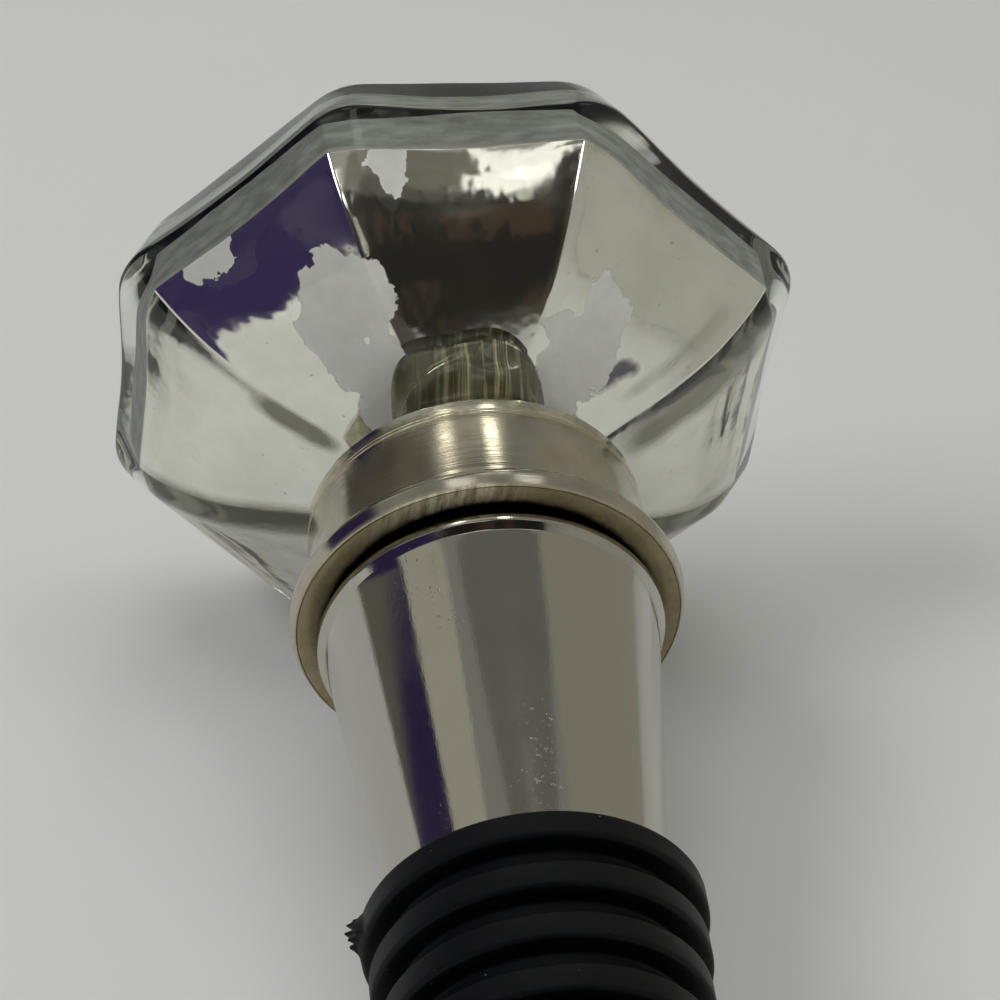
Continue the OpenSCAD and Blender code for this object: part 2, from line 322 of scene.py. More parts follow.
def shell(name, rings, loop=False):
    """A closed mesh from rings of points given in the stopper's own axes. Each point is joined
    to its neighbour in the ring and to the same two points of the next ring. A fan to the
    ring's centre closes the first and the last ring; a loop joins the last ring to the first
    instead. The UV map counts once round the ring and, the other way, metres along
    the profile."""
    count, sides = rings.shape[:2]
    index = np.arange(count * sides).reshape(count, sides)
    here = index if loop else index[:-1]
    ahead = np.roll(index, -1, axis=0) if loop else index[1:]
    quads = np.stack([here, np.roll(here, -1, 1), np.roll(ahead, -1, 1), ahead], axis=-1)
    across = np.linalg.norm(rings[..., :2], axis=-1).mean(axis=1)
    profile = np.stack([across, rings[..., 2].mean(axis=1)], axis=-1)
    hops = np.linalg.norm(np.diff(profile, axis=0, append=profile[:1]), axis=1)
    travel = np.concatenate([[0.0], np.cumsum(hops)])
    column = np.arange(sides) / sides
    low, high = np.broadcast_to(column, here.shape), np.broadcast_to(column + 1 / sides, here.shape)
    near = np.broadcast_to(travel[:len(here), None], here.shape)
    far = np.broadcast_to(travel[1:len(here) + 1, None], here.shape)
    uv = np.stack([np.stack([low, near], -1), np.stack([high, near], -1),
                   np.stack([high, far], -1), np.stack([low, far], -1)], axis=-2)
    points = place(rings.reshape(-1, 3))
    faces = quads.reshape(-1, 4).tolist()
    uvs = [uv.reshape(-1, 2)]
    if not loop:
        tips = place(rings[[0, -1]].mean(axis=1))
        points = np.concatenate([points, tips])
        for edge, tip, end in ((index[0][::-1], count * sides, 0.0),
                               (index[-1], count * sides + 1, travel[count - 1])):
            onward = np.roll(edge, -1)
            faces += np.stack([edge, onward, np.full(sides, tip)], axis=-1).tolist()
            spread = np.stack([column, column + 1 / sides, column + 0.5 / sides], axis=-1)
            uvs.append(np.stack([spread, np.full_like(spread, end)], axis=-1).reshape(-1, 2))
    mesh = bpy.data.meshes.new(name)
    mesh.from_pydata(points.tolist(), [], faces)
    layer = mesh.uv_layers.new(name="surface")
    layer.uv.foreach_set("vector", np.concatenate(uvs).astype(np.float32).ravel())
    made = bpy.data.objects.new(name, mesh)
    bpy.context.collection.objects.link(made)
    if signed_volume(mesh) < 0:
        mesh.flip_normals()
    mesh.shade_smooth()
    return made


def store(piece, name, values):
    """Keeps a number for each of a piece's points, for its material to read."""
    piece.data.attributes.new(name, "FLOAT", "POINT").data.foreach_set(
        "value", values.astype(np.float32))


def signed_volume(mesh):
    """Volume of the mesh, negative if its faces point inwards: a sixth of the triple product
    of every triangle's corners."""
    mesh.calc_loop_triangles()
    corners = np.empty(len(mesh.loop_triangles) * 3, np.int32)
    mesh.loop_triangles.foreach_get("vertices", corners)
    points = np.empty(len(mesh.vertices) * 3)
    mesh.vertices.foreach_get("co", points)
    a, b, c = points.reshape(-1, 3)[corners.reshape(-1, 3)].transpose(1, 0, 2)
    return float(np.einsum("ij,ij->i", a, np.cross(b, c)).sum() / 6)


def waves(points, size, seed):
    """A smooth wandering between about -1 and 1: the mean of sines of the position along
    directions and with phases drawn once from the seed, at wavelengths near `size`."""
    draw = np.random.default_rng(seed)
    total = np.zeros(points.shape[:-1])
    rounds = 9
    for _ in range(rounds):
        direction = unit(draw.normal(size=3)) * 2 * math.pi / (size * draw.uniform(0.7, 1.6))
        total += np.sin(points @ direction + draw.uniform(0, 2 * math.pi))
    return total / math.sqrt(rounds)


def ride(piece):
    """Fixes a finished piece to the stopper."""
    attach(piece, "root")


# ---------------------------------------------------------------- shader helpers

def put(tree, kind, inputs=None, **settings):
    """Adds a node. An input is a number or colour, or another node's output to link."""
    made = tree.nodes.new("ShaderNode" + kind)
    for key, value in settings.items():
        setattr(made, key, value)
    for key, value in (inputs or {}).items():
        if isinstance(value, bpy.types.NodeSocket):
            tree.links.new(value, made.inputs[key])
        else:
            made.inputs[key].default_value = value
    return made


def material(name, **sockets):
    """A new material and its node tree, with its Principled BSDF set to the given values."""
    made = bpy.data.materials.new(name)
    made.use_nodes = True
    for key, value in sockets.items():
        surface_socket(made.node_tree, key).default_value = value
    return made, made.node_tree


def surface_socket(tree, name):
    """Input of the Principled BSDF, by its name in small letters with underscores."""
    title = name.replace("_", " ").title().replace("Ior", "IOR")
    return tree.nodes["Principled BSDF"].inputs[title]


def wire(tree, **outputs):
    """Links node outputs to inputs of the Principled BSDF, named as surface_socket does."""
    for name, output in outputs.items():
        tree.links.new(output, surface_socket(tree, name))


def rgba(colour):
    """A colour with full alpha."""
    return (*colour, 1.0)


def attribute(tree, name):
    """A number stored at the mesh's points."""
    return put(tree, "Attribute", attribute_name=name).outputs["Fac"]


def facing(tree, direction):
    """How far the surface faces a direction: its normal times the direction, summed."""
    normal = put(tree, "NewGeometry").outputs["Normal"]
    return put(tree, "VectorMath", {0: normal, 1: tuple(direction)},
               operation="DOT_PRODUCT").outputs["Value"]


def math_of(tree, operation, first, second=0.0):
    """One sum on two numbers or outputs."""
    return put(tree, "Math", {0: first, 1: second}, operation=operation).outputs[0]


def plus(tree, first, second):
    """The sum of two numbers or outputs."""
    return math_of(tree, "ADD", first, second)


def times(tree, first, second):
    """The product of two numbers or outputs."""
    return math_of(tree, "MULTIPLY", first, second)


def own_coordinates(tree):
    """Position in the stopper's own axes: Object coordinates with the lip's centre taken off
    and the lean of the axis turned back."""
    lip = Vector(place(np.zeros(3)))
    lean = Euler((math.asin(AXIS[2]) - math.pi / 2, 0, 0))
    where = put(tree, "TexCoord").outputs["Object"]
    return put(tree, "Mapping", {"Vector": where, "Location": lip, "Rotation": lean},
               vector_type="TEXTURE").outputs["Vector"]


def stretched(tree, where, scale, turn=(0.0, 0.0, 0.0)):
    """Coordinates turned and scaled, so that a pattern runs along one direction."""
    return put(tree, "Mapping", {"Vector": where, "Rotation": turn, "Scale": scale}).outputs[0]


def noise(tree, vector, size, detail=2.0, roughness=0.5):
    """Noise between 0 and 1 with features of about `size` metres."""
    return put(tree, "TexNoise", {"Vector": vector, "Scale": 1 / size, "Detail": detail,
                                  "Roughness": roughness}).outputs["Fac"]


def ramp(tree, value, low, high, start=0.0, stop=1.0):
    """The value taken from low..high to start..stop, and held there beyond them."""
    return put(tree, "MapRange", {"Value": value, "From Min": low, "From Max": high,
                                  "To Min": start, "To Max": stop}).outputs["Result"]


def blend(tree, share, first, second):
    """A colour between two colours or colour outputs."""
    mixer = put(tree, "Mix", {0: share}, data_type="RGBA")
    for socket, value in ((mixer.inputs[6], first), (mixer.inputs[7], second)):
        if isinstance(value, bpy.types.NodeSocket):
            tree.links.new(value, socket)
        else:
            socket.default_value = rgba(value)
    return mixer.outputs[2]


def bump(tree, height, distance, strength=1.0):
    """A bump from a height of 0 to 1 that stands for `distance` metres."""
    return put(tree, "Bump", {"Height": height, "Distance": distance,
                              "Strength": strength}).outputs["Normal"]


# ---------------------------------------------------------------- knob

def facet_profile(knob, metal, steps=60):
    """Middle of a facet from the neck to the widest edge, as (distance, z): a straight slope
    plus a rise that grows with a power of the distance. Also the slope at each point."""
    neck, edge = knob.neck_d / 2, knob.flats / 2
    base = metal.collar_height + knob.neck_gap
    rise = knob.facet_height - knob.floor_slope * (edge - neck)
    out = np.linspace(neck, edge, steps + 1)
    share = (out - neck) / (edge - neck)
    z = base + knob.floor_slope * (out - neck) + rise * share**knob.rim_power
    slope = knob.floor_slope + rise * knob.rim_power * share ** (knob.rim_power - 1) / (edge - neck)
    return np.stack([out, z], axis=-1), slope


def ridge_rounds(knob, distances):
    """Corner radius of the octagon at each distance: the ridge radius over most of a facet,
    growing to the rim's corners on one side and to a near circle at the neck on the other."""
    neck, edge = knob.neck_d / 2, knob.flats / 2
    near = np.exp(-np.maximum(distances - neck, 0) / (2.2 * MM))
    far = np.clip((distances - 0.8 * edge) / (0.2 * edge), 0, 1)
    rim = (knob.rim_round - knob.ridge_round) * far * far * (3 - 2 * far)
    wide = knob.ridge_round + rim + (0.93 * neck - knob.ridge_round) * near
    return np.minimum(wide, 0.93 * distances)


def knob_outside(knob, metal):
    """Profile of the knob's outside from the centre of the crown to the end of the neck."""
    curve, _ = facet_profile(knob, metal)
    edge, girth_z = curve[-1]
    crown_z = girth_z + knob.crown_rise
    lean_a = edge - knob.crown_lean
    neck, end_z = knob.neck_d / 2, metal.collar_height - knob.neck_seat
    fillet = 1.4 * MM
    crown = rounded([
        (0.4 * MM, crown_z, 0), (lean_a - knob.crown_bevel, crown_z, 1.2 * MM),
        (lean_a, crown_z - knob.crown_bevel, 1.2 * MM), (edge, girth_z, 0.8 * MM),
        (*curve[-9], 0)])
    underside = rounded([
        (*curve[12], 0), (neck, curve[0][1] - 0.3 * MM, fillet), (neck, end_z, 0.5 * MM),
        (knob.hole_d / 2 + 0.2 * MM, end_z, 0)])
    return np.concatenate([crown, curve[-10:12:-1], underside])


def knob_inside(knob, metal):
    """Profile of the hollow from its lower end beside the hole up to the middle of its
    ceiling: the facets moved in along their normals by the wall as far as a sharp edge, then
    sides that lean in with the outside, and the top."""
    curve, slope = facet_profile(knob, metal)
    steep = np.sqrt(1 + slope**2)
    inner = curve + knob.wall * np.stack([-slope / steep, 1 / steep], axis=-1)
    inner = inner[curve[:, 0] <= knob.flats / 2 - 0.4 * knob.wall]
    rim = inner[-1, 0]
    top_z = curve[-1, 1] + knob.crown_rise - knob.wall
    shoulder, bevel = rim - 0.4 * knob.crown_lean, knob.crown_bevel
    top = rounded([
        (*inner[-2], 0), (*inner[-1], 0.12 * MM), (shoulder, top_z - bevel, 0.5 * MM),
        (shoulder - bevel, top_z, 0.5 * MM), (0.4 * MM, top_z, 0)])
    return np.concatenate([inner[:-1], top[1:]])


def glass_shape(knob, metal):
    """Rings of the whole glass: the outside from the crown down to the neck's end, the hole,
    and the hollow up to its ceiling. The outside wanders a little, as pressed glass does."""
    outside = refined(knob_outside(knob, metal), 0.45 * MM)
    inside = refined(knob_inside(knob, metal), 0.6 * MM)
    hole = refined(np.array([[knob.hole_d / 2, outside[-1][1] + 0.2 * MM],
                             [knob.hole_d / 2, inside[0][1] - 0.2 * MM]]), 1.0 * MM)
    edge, girth_z = knob.flats / 2, facet_profile(knob, metal)[0][-1][1]
    side = np.exp(-((outside[:, 1] - girth_z - 1.2 * MM) / (2.6 * MM)) ** 2)
    rim = np.clip((outside[:, 0] - 0.8 * edge) / (0.1 * edge), 0, 1)
    rounds = ridge_rounds(knob, outside[:, 0])
    flat_crown = (outside[:, 1] > girth_z) & (rounds < knob.rim_round)
    rounds[flat_crown] = np.minimum(knob.rim_round, 0.93 * outside[flat_crown, 0])
    outer = eight_sided(outside[:, 0], rounds, knob.side_hollow * side * rim)
    rings = with_height(outer, outside[:, 1])
    apart = np.clip((outside[:, 0] - 1.2 * knob.neck_d / 2) / (3 * MM), 0, 1)[:, None]
    rings[..., 2] += knob.wave * apart * waves(rings, 9 * MM, 3)
    rings[..., :2] *= 1 + 0.8 * knob.wave / edge * (apart * waves(rings, 7 * MM, 5))[..., None]
    bore = with_height(eight_sided(hole[:, 0], 0.93 * hole[:, 0]), hole[:, 1])
    hollow = with_height(eight_sided(inside[:, 0], inner_rounds(knob, inside[:, 0]),
                                     inner_bow(knob, inside[:, 0]), HOLLOW_ANGLES), inside[:, 1])
    return np.concatenate([rings, bore, hollow])


def inner_bow(knob, distances):
    """Depth of the bow in each side of the hollow: none over most of a facet, growing with
    the square of the distance to its full depth at the rim."""
    start = 0.66 * knob.flats / 2
    share = np.clip((distances - start) / (0.97 * knob.flats / 2 - start), 0, 1)
    return knob.coat_hollow * share**2


def inner_rounds(knob, distances):
    """Corner radius of the hollow at each distance from the axis: sharp, but round at the
    neck."""
    near = np.exp(-np.maximum(distances - 0.8 * knob.neck_d / 2, 0) / (1.6 * MM))
    return np.minimum(0.3 * MM + 0.4 * knob.neck_d * near, 0.93 * distances)


def coat_shape(knob, metal):
    """Rings of the mirror coating: the hollow's own profile moved out into the glass by the
    coat's depth, and closed across its lower end."""
    inside = refined(knob_inside(knob, metal), 0.5 * MM)
    along = np.gradient(inside, axis=0)
    normal = np.stack([along[:, 1], -along[:, 0]], axis=-1)
    normal /= np.linalg.norm(normal, axis=1, keepdims=True)
    skin = inside + knob.coat_gap * normal
    bottom = refined(np.array([[0.4 * MM, skin[0, 1]], skin[0]]), 0.8 * MM)[:-1]
    path = np.concatenate([bottom, skin])
    rings = with_height(eight_sided(path[:, 0], inner_rounds(knob, path[:, 0]),
                                    inner_bow(knob, path[:, 0]), HOLLOW_ANGLES), path[:, 1])
    facet = np.clip((path[:, 0] - knob.neck_d / 2) / (4 * MM), 0, 1)[:, None]
    below = path[:, 1][:, None] < path[:, 1].max() - 3 * MM
    rings[..., 2] += 0.6 * knob.wave * facet * below * waves(rings, 5 * MM, 11)
    return rings


def spots(points, circles):
    """Distance in mm from the nearest of the circles, negative inside, measured across the
    axis. A circle is (across, under, radius) in mm."""
    where = points[:, None, :2] / MM
    circles = np.array(circles)
    apart = np.linalg.norm(where - circles[None, :, :2], axis=-1) - circles[None, :, 2]
    return apart.min(axis=1)


def beside_ridges(points, bands):
    """Strength of the dull bands at each point, seen along the axis: a band's strength times
    exp(-(distance from its middle / half width)^2), faded over 2 mm at both ends."""
    total = np.zeros(len(points))
    for angle, middle, half, start, stop, strength in bands:
        cos, sin = math.cos(math.radians(angle)), math.sin(math.radians(angle))
        ahead = points[:, :2] @ np.array([cos, sin]) / MM
        beside = points[:, :2] @ np.array([-sin, cos]) / MM
        fade = np.clip((ahead - start) / 2, 0, 1) * np.clip((stop - ahead) / 2, 0, 1)
        total = np.maximum(total, strength * fade * np.exp(-((beside - middle) / half) ** 2))
    return total


def squeezed_shape(knob, metal):
    """Rings of the cement that was squeezed out between the collar and the facets: a wedge
    from the neck to an edge that hides behind the collar, and stands out as a smooth bulge on
    the side that faces up. The window exp(-(angle / width)^6) says where the bulge is; the
    section runs along the collar, up the leaning face and back under the facets, and the face
    wanders with two waves of its angle and height."""
    around = np.linspace(0, 2 * math.pi, 360, endpoint=False)
    share = np.linspace(0, 1, 15)
    out = np.concatenate([np.linspace(0, 1, 9)[:-1], np.ones(15), np.linspace(1, 0, 9)[1:]])
    up = np.concatenate([np.zeros(8), share, np.ones(8)])
    window = np.exp(-((around - knob.squeeze_at) / knob.squeeze_width) ** 6)
    unrolled = np.stack([11 * MM * np.cos(around), 11 * MM * np.sin(around)], axis=-1)[None]
    climb = np.broadcast_to(up[:, None, None] * 5 * MM, (len(up), len(around), 1))
    spread = np.concatenate([np.broadcast_to(unrolled, climb.shape[:2] + (2,)), climb], -1)
    swell = waves(spread, 4.2 * MM, 21)
    round_face = np.sin(math.pi * up)[:, None]
    inner = knob.neck_d / 2 + 0.05 * MM
    wall = metal.collar_d / 2
    low_r = wall - 2.6 * MM + window * (2.35 * MM + 0.10 * MM * swell)
    high_r = wall - 2.4 * MM + window * (2.3 * MM + knob.squeeze + 0.3 * MM * swell)
    reach = low_r + up[:, None] * (high_r - low_r) + round_face * window * (0.25 + 0.3 * swell) * MM
    radius = inner + out[:, None] * (reach - inner)
    low = metal.collar_height + 0.01 * MM
    roof = low + knob.neck_gap + knob.floor_slope * (radius - knob.neck_d / 2) - 0.06 * MM
    height = low + up[:, None] * (roof - low) * (0.45 + 0.55 * window)
    return np.stack([radius * np.cos(around), radius * np.sin(around), height], axis=-1)


def glass_material(finish):
    """Clear pressed glass: smooth, with faint waviness and a grey-green cast in its depth."""
    made, tree = material("glass", transmission_weight=1.0, ior=1.5, roughness=0.012,
                          base_color=rgba(finish.glass))
    where = own_coordinates(tree)
    wave = noise(tree, where, 3.2 * MM, 1.0)
    wire(tree, normal=bump(tree, wave, 0.10 * MM, 0.35))
    depth = put(tree, "VolumeAbsorption", {"Color": rgba(finish.depth_tint), "Density": 16.0})
    tree.links.new(depth.outputs[0], tree.nodes["Material Output"].inputs["Volume"])
    return made


# Where the coating has come off, and where shade is painted beside the collar: circles as
# (across, under, radius) in mm, seen along the axis.
BARE = [
    (-9.0, -12.9, 1.6), (-9.9, -11.4, 1.7), (-9.3, -10.2, 2.2), (-8.3, -8.4, 2.0),
    (-6.8, -7.8, 1.6), (-8.0, -14.0, 0.9), (-5.6, -6.4, 1.8), (-7.2, -11.6, 1.6), (-6.4, -9.6, 1.4),
    (7.0, -12.5, 1.5), (7.2, -11.0, 2.0), (6.6, -9.6, 2.2), (6.0, -8.2, 2.0), (4.6, -9.4, 1.3),
    (5.0, -7.0, 1.6), (4.8, -11.4, 1.1), (5.0, -12.3, 0.8),
    (-17.9, -9.2, 0.5), (-17.1, -10.3, 0.8), (-16.2, -11.3, 0.9),
    (-7.2, -19.8, 0.7), (-6.6, -19.0, 0.9), (-6.0, -18.2, 0.6),
]
FAR_MM = 50.0  # keeps the circles off the crown, where the coating is whole
# Dull bands that run beside the ridges: (ridge angle in degrees, middle of the band to one side
# of the ridge, half its width, where it starts and ends from the axis in mm, strength).
BANDS = [
    (335.8, 2.0, 1.2, 9.0, 21.0, 0.9), (335.8, -1.6, 0.5, 10.0, 20.0, 0.4),
    (199.9, -0.8, 0.5, 8.4, 15.0, 1.5), (199.9, -0.6, 0.25, 9.0, 21.0, 0.5),
    (157.8, -0.8, 1.0, 7.0, 22.0, 1.5), (23.0, 0.8, 1.0, 7.0, 22.0, 1.2),
]
# Painted shade: nearly black spots where the gap between the collar and the facets lies in shade, as
# (across, under, radius) in mm.
GAP_SHADE_SPOTS = [(7.2, -7.0, 0.35), (8.2, -7.5, 0.5), (9.0, -7.8, 0.6), (9.8, -7.8, 0.5)]


def silver_material(finish):
    """Silvering seen through the glass: a mirror with soft smudges, dark specks and dull bands
    beside the ridges, painted shade in nearly black spots beside the collar, bare pale patches
    with ragged edges where it has come off, and a matt grey back round the rim."""
    made, tree = material("silvering", base_color=rgba(finish.silver), metallic=1.0,
                          roughness=0.06)
    where = own_coordinates(tree)
    ragged = plus(tree, ramp(tree, noise(tree, where, 3.0 * MM, 2.0), 0.2, 0.8, -0.9, 0.9),
                  ramp(tree, noise(tree, where, 0.8 * MM, 3.0, 0.65), 0.2, 0.8, -0.28, 0.28))
    bare = ramp(tree, plus(tree, attribute(tree, "bare"), ragged), -0.05, 0.05, 1.0, 0.0)
    # Painted shade: nearly black spots on the coating beside the collar.
    gap_shade = plus(tree, attribute(tree, "gap_shade"), times(tree, ragged, 0.6))
    gap_shade = ramp(tree, gap_shade, -0.25, 0.25, 1.0, 0.0)
    cloud = noise(tree, where, 4.5 * MM, 4.0, 0.6)
    smudge = ramp(tree, cloud, 0.35, 0.75)
    speck = ramp(tree, noise(tree, where, 0.45 * MM, 2.0, 0.6), 0.70, 0.78)
    patchy = ramp(tree, cloud, 0.25, 0.6, 0.75, 1.25)
    dull = ramp(tree, times(tree, attribute(tree, "dull"), patchy), 0.1, 0.9)
    mirror = blend(tree, times(tree, smudge, 0.5), finish.silver, STAIN)
    mirror = blend(tree, dull, mirror, DULLED)
    mirror = blend(tree, times(tree, speck, 0.6), mirror, SPECK)
    mirror = blend(tree, times(tree, gap_shade, 0.9), mirror, PAINTED_GAP_SHADE)
    pale = blend(tree, ramp(tree, noise(tree, where, 1.6 * MM, 4.0, 0.7), 0.3, 0.7),
                 finish.bare, CHALKY)
    streak = stretched(tree, where, (1.0, 1.0, 2.5))
    swirl = ramp(tree, noise(tree, streak, 1.8 * MM, 2.0, 0.5), 0.35, 0.65)
    back = blend(tree, swirl, BACK_DARK, BACK_PALE)
    side = times(tree, attribute(tree, "side"), ramp(tree, facing(tree, AXIS), 0.8, 0.95, 1.0, 0.0))
    matt = math_of(tree, "MAXIMUM", bare, side)
    seen = blend(tree, side, blend(tree, bare, mirror, pale), back)
    dulled = math_of(tree, "MAXIMUM", matt, times(tree, dull, 0.6))
    rough = plus(tree, ramp(tree, smudge, 0.0, 1.0, 0.04, 0.12), times(tree, matt, 0.5))
    dimple = noise(tree, where, 2.4 * MM, 2.0)
    wire(tree, base_color=seen, metallic=math_of(tree, "SUBTRACT", 1.0, dulled), roughness=rough,
         normal=bump(tree, dimple, 0.06 * MM, 0.5))
    return made


# ---------------------------------------------------------------- collar and plug

def flare_point(metal, angle):
    """Point of the collar's underside at an angle round a quarter ellipse, 0 where it leaves the
    bore and a quarter turn at the lip: the lip's place less the half-widths times (cos, sin)."""
    bore, lip = metal.collar_d / 2 - metal.sheet, metal.collar_d / 2 + metal.lip_reach
    return (lip - (lip - bore) * math.cos(angle), metal.under_rise * (1 - math.sin(angle)))


def collar_shape(knob, metal):
    """Closed profile of the collar: up the inside from the lip, in to the hole in its top, and
    down the outside over the two turned lines, the flare and the bead. The wall swells like a
    barrel, by 4 s (1 - s) of its fullest at the share s of its height."""
    wall = metal.collar_d / 2
    bore = wall - metal.sheet
    bead = wall + metal.lip_reach + metal.bead_reach
    hole = knob.neck_d / 2 + metal.neck_clearance
    top, line = metal.collar_height, metal.collar_height - metal.line_drop
    bead_z, bead_round, low = 0.95 * MM, 0.55 * MM, math.radians(-18.7)
    flare = [(*flare_point(metal, a), 0) for a in np.linspace(math.pi / 2, 0, 25)]
    roll = [(bead + bead_round * (math.cos(a) - 1), bead_z + bead_round * math.sin(a), 0)
            for a in np.linspace(math.pi / 4, low, 9)]
    drop = roll[-1][1] / math.cos(low)
    edge = (roll[-1][0] + drop * math.sin(low), 0, 0.16 * MM)
    groove = metal.line_width / 2
    path = rounded([
        *flare, (bore, top - metal.sheet, 0.1 * MM), (hole, top - metal.sheet, 0.05 * MM),
        (hole, top, 0.15 * MM), (wall - 0.5 * MM, top, 0.25 * MM),
        (wall, top - 0.5 * MM, 0.3 * MM), (wall, line + 2.2 * groove, 0.06 * MM),
        (wall - 0.4 * groove, line + 1.9 * groove, 0), (wall, line + 1.6 * groove, 0.06 * MM),
        (wall, line + 0.5 * groove, 0.06 * MM), (wall - 0.8 * groove, line, 0.05 * MM),
        (wall, line - 0.5 * groove, 0.06 * MM), (wall, metal.flare_height + 0.15 * MM, 0.06 * MM),
        (wall + 0.25 * MM, metal.flare_height, 0.08 * MM), *roll, edge, (*flare[0][:2], 0),
    ], steps=4)
    path = refined(path, 0.5 * MM)[:-1]
    share = np.clip((path[:, 1] - metal.flare_height) / (top - metal.flare_height), 0, 1)
    outside = path[:, 0] > bore + 0.5 * metal.sheet
    path[:, 0] += metal.barrel * outside * 4 * share * (1 - share)
    return with_height(ring(path[:, 0]), path[:, 1])


def plug_shape(metal):
    """Closed profile of the plug: its top face, the ring, the bevel, the taper, the spigot and
    the hole for the stud."""
    bore = metal.collar_d / 2 - metal.sheet
    ring_r = bore + metal.ring_reach
    seat_z, ring_top = metal.under_rise + 0.1 * MM, metal.ring_height - metal.ring_drop
    taper_z = -metal.ring_drop - metal.ring_bevel
    end_z = taper_z - metal.taper_length
    end_r, spigot = metal.taper_end_d / 2, metal.spigot_d / 2
    floor_z = seat_z - metal.stud_depth
    hole = metal.stud_d / 2
    path = rounded([
        (0.2 * MM, floor_z, 0), (hole, floor_z, 0.1 * MM), (hole, seat_z, 0.1 * MM),
        (bore, seat_z, 0.06 * MM), (bore, ring_top, 0.1 * MM), (ring_r, ring_top, 0.12 * MM),
        (ring_r, -metal.ring_drop, 0.08 * MM), (ring_r - metal.ring_bevel, taper_z, 0.12 * MM),
        (end_r, end_z + 0.15 * MM, 0.3 * MM), (end_r - 0.45 * MM, end_z, 0.1 * MM),
        (spigot, end_z, 0.1 * MM), (spigot, end_z - metal.spigot_length, 0.2 * MM),
        (0.2 * MM, end_z - metal.spigot_length, 0)], steps=4)
    path = refined(path, 0.8 * MM)
    return with_height(ring(path[:, 0]), path[:, 1])


def turned(tree, where, width, depth, strength=0.6):
    """Fine turning marks: rings whose depth changes along the axis and hardly round it."""
    rings = noise(tree, stretched(tree, where, (0.03, 0.03, 1.0)), width, 4.0, 0.7)
    return bump(tree, rings, depth, strength)


def nickel_material(finish):
    """Worn nickel plate: turning marks and dull patches, a painted highlight on the band above the
    turned line, brassy brown under the lip, where the plate has worn through, with painted
    highlight streaks on its left, and painted shade, nearly black, in the corner beside the plug."""
    made, tree = material("collar_metal", base_color=rgba(finish.nickel), metallic=1.0,
                          roughness=0.2)
    where = own_coordinates(tree)
    parts = put(tree, "SeparateXYZ", {0: where})
    flat = put(tree, "CombineXYZ", {0: parts.outputs[0], 1: parts.outputs[1]})
    out = put(tree, "VectorMath", {0: flat.outputs[0]}, operation="LENGTH").outputs["Value"]
    blotch = noise(tree, where, 2.2 * MM, 4.0, 0.65)
    under = times(tree, ramp(tree, facing(tree, -AXIS), 0.25, 0.5),
                  ramp(tree, out, 12.32 * MM, 12.18 * MM))
    drawn = stretched(tree, where, (1.0, 0.1, 0.1))
    streaks = noise(tree, drawn, 0.5 * MM, 3.0, 0.7)
    across = parts.outputs[0]
    # Painted highlight: bright brass streaks on the left of the underside.
    highlight_streaks = times(tree, ramp(tree, across, -9 * MM, -5 * MM),
                 ramp(tree, across, 1.5 * MM, -1.5 * MM))
    highlight_streaks = times(tree, highlight_streaks, ramp(tree, streaks, 0.4, 0.62))
    uneven = ramp(tree, blotch, 0.3, 0.7, -0.2 * MM, 0.2 * MM)
    # Painted shade: nearly black where the flare's underside meets the plug.
    root = ramp(tree, plus(tree, out, uneven), 10.85 * MM, 10.35 * MM)
    # Painted highlight: the band above the turned line is lighter in patches.
    highlight_band = ramp(tree, parts.outputs[2], 7.9 * MM, 8.2 * MM)
    wall = blend(tree, ramp(tree, blotch, 0.35, 0.7), finish.nickel, NICKEL_DULL)
    wall = blend(tree, times(tree, highlight_band, ramp(tree, blotch, 0.4, 0.6)), wall, NICKEL_HIGHLIGHT)
    brass = blend(tree, times(tree, blotch, 0.8), finish.tarnish, BRASS_DARK)
    brass = blend(tree, highlight_streaks, brass, BRASS_HIGHLIGHT)
    seen = blend(tree, under, wall, brass)
    seen = blend(tree, times(tree, root, under), seen, ROOT_SHADE)
    rough = plus(tree, ramp(tree, blotch, 0.3, 0.7, 0.09, 0.20), times(tree, under, 0.12))
    wire(tree, base_color=seen, metallic=ramp(tree, under, 0.0, 1.0, 1.0, 0.12), roughness=rough,
         normal=turned(tree, where, 0.32 * MM, 0.02 * MM, 0.7))
    return made


def chrome_material(finish):
    """Polished plate: soft haze, a fine grain of short scratches, a patch of pinpricks that
    sparkle, and painted shade above the ring, where the collar's flare hangs over it."""
    made, tree = material("plug_metal", base_color=rgba(finish.chrome), metallic=1.0,
                          roughness=0.1)
    where = own_coordinates(tree)
    slanted = stretched(tree, where, (1.0, 1.0, 0.12), (0.3, -0.5, 0.2))
    grain = noise(tree, slanted, 0.14 * MM, 2.0, 0.6)
    haze = noise(tree, where, 4 * MM, 3.0, 0.6)
    patch = noise(tree, stretched(tree, where, (1.0, 1.0, 0.35)), 5 * MM, 1.0)
    prick = ramp(tree, noise(tree, where, 0.30 * MM, 2.0, 0.7), 0.66, 0.80)
    pits = times(tree, prick, ramp(tree, patch, 0.52, 0.62))
    scratch = ramp(tree, grain, 0.62, 0.80)
    along = put(tree, "SeparateXYZ", {0: where}).outputs[2]
    uneven = ramp(tree, haze, 0.3, 0.7, -0.12 * MM, 0.12 * MM)
    # Painted shade: darker above the ring, where the collar's flare hangs over the plug.
    top_shade = ramp(tree, plus(tree, along, uneven), -1.25 * MM, -1.05 * MM)
    rough = plus(tree, ramp(tree, haze, 0.3, 0.7, 0.04, 0.12), times(tree, scratch, 0.08))
    height = plus(tree, times(tree, pits, 5.0), grain)
    wire(tree, base_color=blend(tree, top_shade, finish.chrome, PLUG_TOP_SHADE), roughness=rough,
         normal=bump(tree, height, 0.004 * MM, 0.8))
    return made


